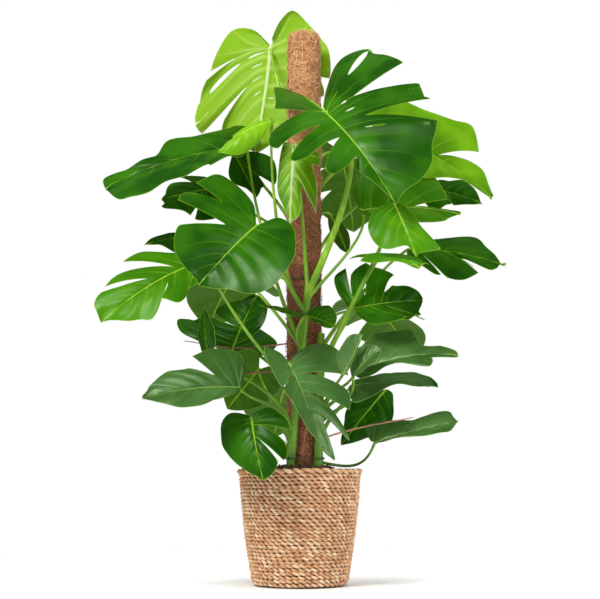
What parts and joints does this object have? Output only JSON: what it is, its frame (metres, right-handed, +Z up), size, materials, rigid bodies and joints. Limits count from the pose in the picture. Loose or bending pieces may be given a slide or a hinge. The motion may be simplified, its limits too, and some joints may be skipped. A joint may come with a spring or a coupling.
{
  "type": "potted swiss cheese plant",
  "caption": "Climbing foliage plant with large heart-shaped, deeply cut leaves on a coir pole, standing in a woven seagrass basket.",
  "frame": {"origin": "middle of the basket's flat underside, where it rests on the floor", "axes": "+Z up along the pole, -Y towards the viewer of the picture, +X to the viewer's right"},
  "size_m": [0.9825, 0.7543, 1.4694],
  "materials": {
    "leaf_dark": "glossy waxy upper side, duller paler underside, light green midrib and veins",
    "leaf_light": "satin, thin enough for light to shine through, broad pale midrib",
    "stem": "satin green, with faint rings where old petioles left the stem",
    "coir": "matt, rough, matted coconut fibre",
    "core": "plain matt tube",
    "soil": "matt, moist, crumbly bark and peat",
    "pot": "plain matt thin-walled pot",
    "seagrass": "matt to satin dry grass, twisted and twined in rows",
    "root": "matt, bark-like",
    "tie": "satin coated wire"
  },
  "bodies": {
    "root": {"aerial_root_far_left": "root", "aerial_root_left": "root", "aerial_root_right": "root", "aerial_root_soil": "root", "basket": "seagrass", "coir_pole": "coir", "leaf_back_high": "leaf_dark", "leaf_back_left": "leaf_dark", "leaf_back_low": "leaf_dark", "leaf_back_right": "leaf_dark", "leaf_centre_curled": "leaf_light", "leaf_centre_dark": "leaf_dark", "leaf_centre_new": "leaf_light", "leaf_front_centre": "leaf_dark", "leaf_front_left": "leaf_dark", "leaf_front_low": "leaf_dark", "leaf_left_behind": "leaf_dark", "leaf_left_inner": "leaf_dark", "leaf_left_long": "leaf_dark", "leaf_left_low": "leaf_dark", "leaf_left_low_light": "leaf_dark", "leaf_left_lower": "leaf_dark", "leaf_left_mid_dark": "leaf_dark", "leaf_left_mid_tip": "leaf_dark", "leaf_left_small": "leaf_dark", "leaf_low_right_back": "leaf_dark", "leaf_low_right_fold": "leaf_dark", "leaf_low_right_long": "leaf_dark", "leaf_low_right_mid": "leaf_dark", "leaf_low_right_upright": "leaf_dark", "leaf_low_right_wavy": "leaf_dark", "leaf_pole_right_small": "leaf_dark", "leaf_right_back_dark": "leaf_dark", "leaf_right_back_light": "leaf_light", "leaf_right_fingers": "leaf_dark", "leaf_right_hanging": "leaf_dark", "leaf_right_low_wide": "leaf_dark", "leaf_right_olive": "leaf_dark", "leaf_right_slit": "leaf_dark", "leaf_right_under": "leaf_dark", "leaf_top_left_light": "leaf_light", "leaf_upper_right": "leaf_dark", "nursery_pot": "pot", "pole_core": "core", "soil": "soil", "tie_high": "tie", "tie_low": "tie", "tie_middle": "tie", "tie_top": "tie", "vine_back": "stem", "vine_left": "stem", "vine_right": "stem"}
  },
  "joints": []
}
